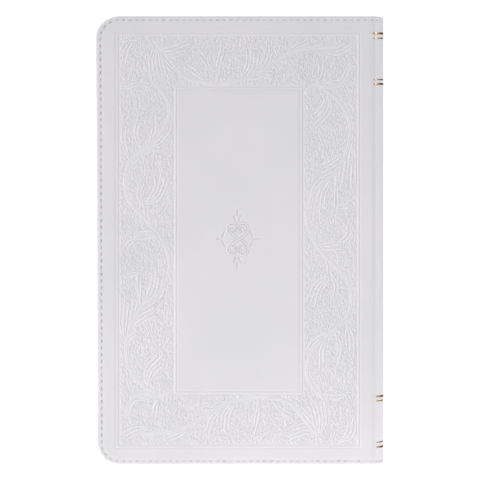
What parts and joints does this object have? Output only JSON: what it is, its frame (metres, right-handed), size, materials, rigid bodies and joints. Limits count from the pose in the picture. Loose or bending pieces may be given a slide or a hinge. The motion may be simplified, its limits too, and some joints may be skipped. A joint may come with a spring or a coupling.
{
  "type": "bible",
  "caption": "White limp leather bible with an embossed scroll border, stitched edges and gold foil lines on its spine; covers, endleaves and middle opening turn on hinges.",
  "frame": {"origin": "middle of the foot of the closed book, on the surface that it stands on", "axes": "+Z from tail to head, +X from the fore-edge to the spine, -Y out of the back cover"},
  "size_m": [0.138, 0.028, 0.216],
  "materials": {
    "white_leather": "satin embossed",
    "board": "matte",
    "endpaper": "matte",
    "text_paper": "matte thin paper",
    "page_gilding": "burnished gilt edge",
    "page_print": "matte grey line texture",
    "stitch_thread": "twisted thread",
    "gold_foil": "stamped foil",
    "lining_paper": "matte",
    "gauze": "open weave",
    "sewing_thread": "matte thread",
    "band_thread": "woven thread"
  },
  "bodies": {
    "back_half": {"back_spine_leather": "white_leather", "back_spine_foil": "gold_foil", "back_spine_stitching": "stitch_thread", "back_spine_lining": "lining_paper", "back_gauze": "gauze", "back_sewing_thread": "sewing_thread", "back_head_band": "band_thread", "back_tail_band": "band_thread", "section_09": "text_paper", "section_10": "text_paper", "section_11": "text_paper", "section_12": "text_paper", "section_13": "text_paper", "section_14": "text_paper", "section_15": "text_paper", "section_16": "text_paper"},
    "front_half": {"front_spine_leather": "white_leather", "front_spine_foil": "gold_foil", "front_spine_stitching": "stitch_thread", "front_spine_lining": "lining_paper", "front_gauze": "gauze", "front_sewing_thread": "sewing_thread", "front_head_band": "band_thread", "front_tail_band": "band_thread", "section_01": "text_paper", "section_02": "text_paper", "section_03": "text_paper", "section_04": "text_paper", "section_05": "text_paper", "section_06": "text_paper", "section_07": "text_paper", "section_08": "text_paper"},
    "back_cover": {"back_cover_leather": "white_leather", "back_cover_board": "board", "back_pastedown": "endpaper", "back_cover_stitching": "stitch_thread"},
    "front_cover": {"front_cover_leather": "white_leather", "front_cover_board": "board", "front_pastedown": "endpaper", "front_cover_stitching": "stitch_thread"},
    "back_flyleaf": {"back_flyleaf": "endpaper"},
    "back_blank_leaf": {"back_blank_leaf": "endpaper"},
    "front_flyleaf": {"front_flyleaf": "endpaper"},
    "front_blank_leaf": {"front_blank_leaf": "endpaper"},
    "middle_leaf_1": {"middle_leaf_1": "text_paper"},
    "middle_leaf_2": {"middle_leaf_2": "text_paper"},
    "middle_leaf_3": {"middle_leaf_3": "text_paper"}
  },
  "joints": [
    {"name": "middle_fold", "type": "hinge", "parent": "back_half", "child": "front_half", "pos_m": [0.06905, 0, 0.108], "axis": [0, 0, -1], "range_deg": [0, 140]},
    {"name": "back_cover_open", "type": "hinge", "parent": "back_half", "child": "back_cover", "pos_m": [0.06455, -0.014, 0.108], "axis": [0, 0, 1], "range_deg": [0, 110]},
    {"name": "front_cover_open", "type": "hinge", "parent": "front_half", "child": "front_cover", "pos_m": [0.06455, 0.014, 0.108], "axis": [0, 0, -1], "range_deg": [0, 110]},
    {"name": "back_flyleaf_turn", "type": "hinge", "parent": "back_half", "child": "back_flyleaf", "pos_m": [0.06355, -0.01122, 0.108], "axis": [0, 0, 1], "range_deg": [0, 55]},
    {"name": "back_blank_leaf_turn", "type": "hinge", "parent": "back_half", "child": "back_blank_leaf", "pos_m": [0.06335, -0.01098, 0.108], "axis": [0, 0, 1], "range_deg": [0, 27.5]},
    {"name": "front_flyleaf_turn", "type": "hinge", "parent": "front_half", "child": "front_flyleaf", "pos_m": [0.06355, 0.01122, 0.108], "axis": [0, 0, -1], "range_deg": [0, 55]},
    {"name": "front_blank_leaf_turn", "type": "hinge", "parent": "front_half", "child": "front_blank_leaf", "pos_m": [0.06335, 0.01098, 0.108], "axis": [0, 0, -1], "range_deg": [0, 27.5]},
    {"name": "middle_leaf_1_turn", "type": "hinge", "parent": "back_half", "child": "middle_leaf_1", "pos_m": [0.06665, -0.00025, 0.108], "axis": [0, 0, -1], "range_deg": [0, 35]},
    {"name": "middle_leaf_2_turn", "type": "hinge", "parent": "back_half", "child": "middle_leaf_2", "pos_m": [0.0669, 0, 0.108], "axis": [0, 0, -1], "range_deg": [0, 70]},
    {"name": "middle_leaf_3_turn", "type": "hinge", "parent": "back_half", "child": "middle_leaf_3", "pos_m": [0.06715, 0.00025, 0.108], "axis": [0, 0, -1], "range_deg": [0, 105]}
  ],
  "couplings": [
    {"joint": "back_flyleaf_turn", "follows": "back_cover_open", "ratio": 0.5},
    {"joint": "back_blank_leaf_turn", "follows": "back_cover_open", "ratio": 0.25},
    {"joint": "front_flyleaf_turn", "follows": "front_cover_open", "ratio": 0.5},
    {"joint": "front_blank_leaf_turn", "follows": "front_cover_open", "ratio": 0.25},
    {"joint": "middle_leaf_1_turn", "follows": "middle_fold", "ratio": 0.25},
    {"joint": "middle_leaf_2_turn", "follows": "middle_fold", "ratio": 0.5},
    {"joint": "middle_leaf_3_turn", "follows": "middle_fold", "ratio": 0.75}
  ]
}
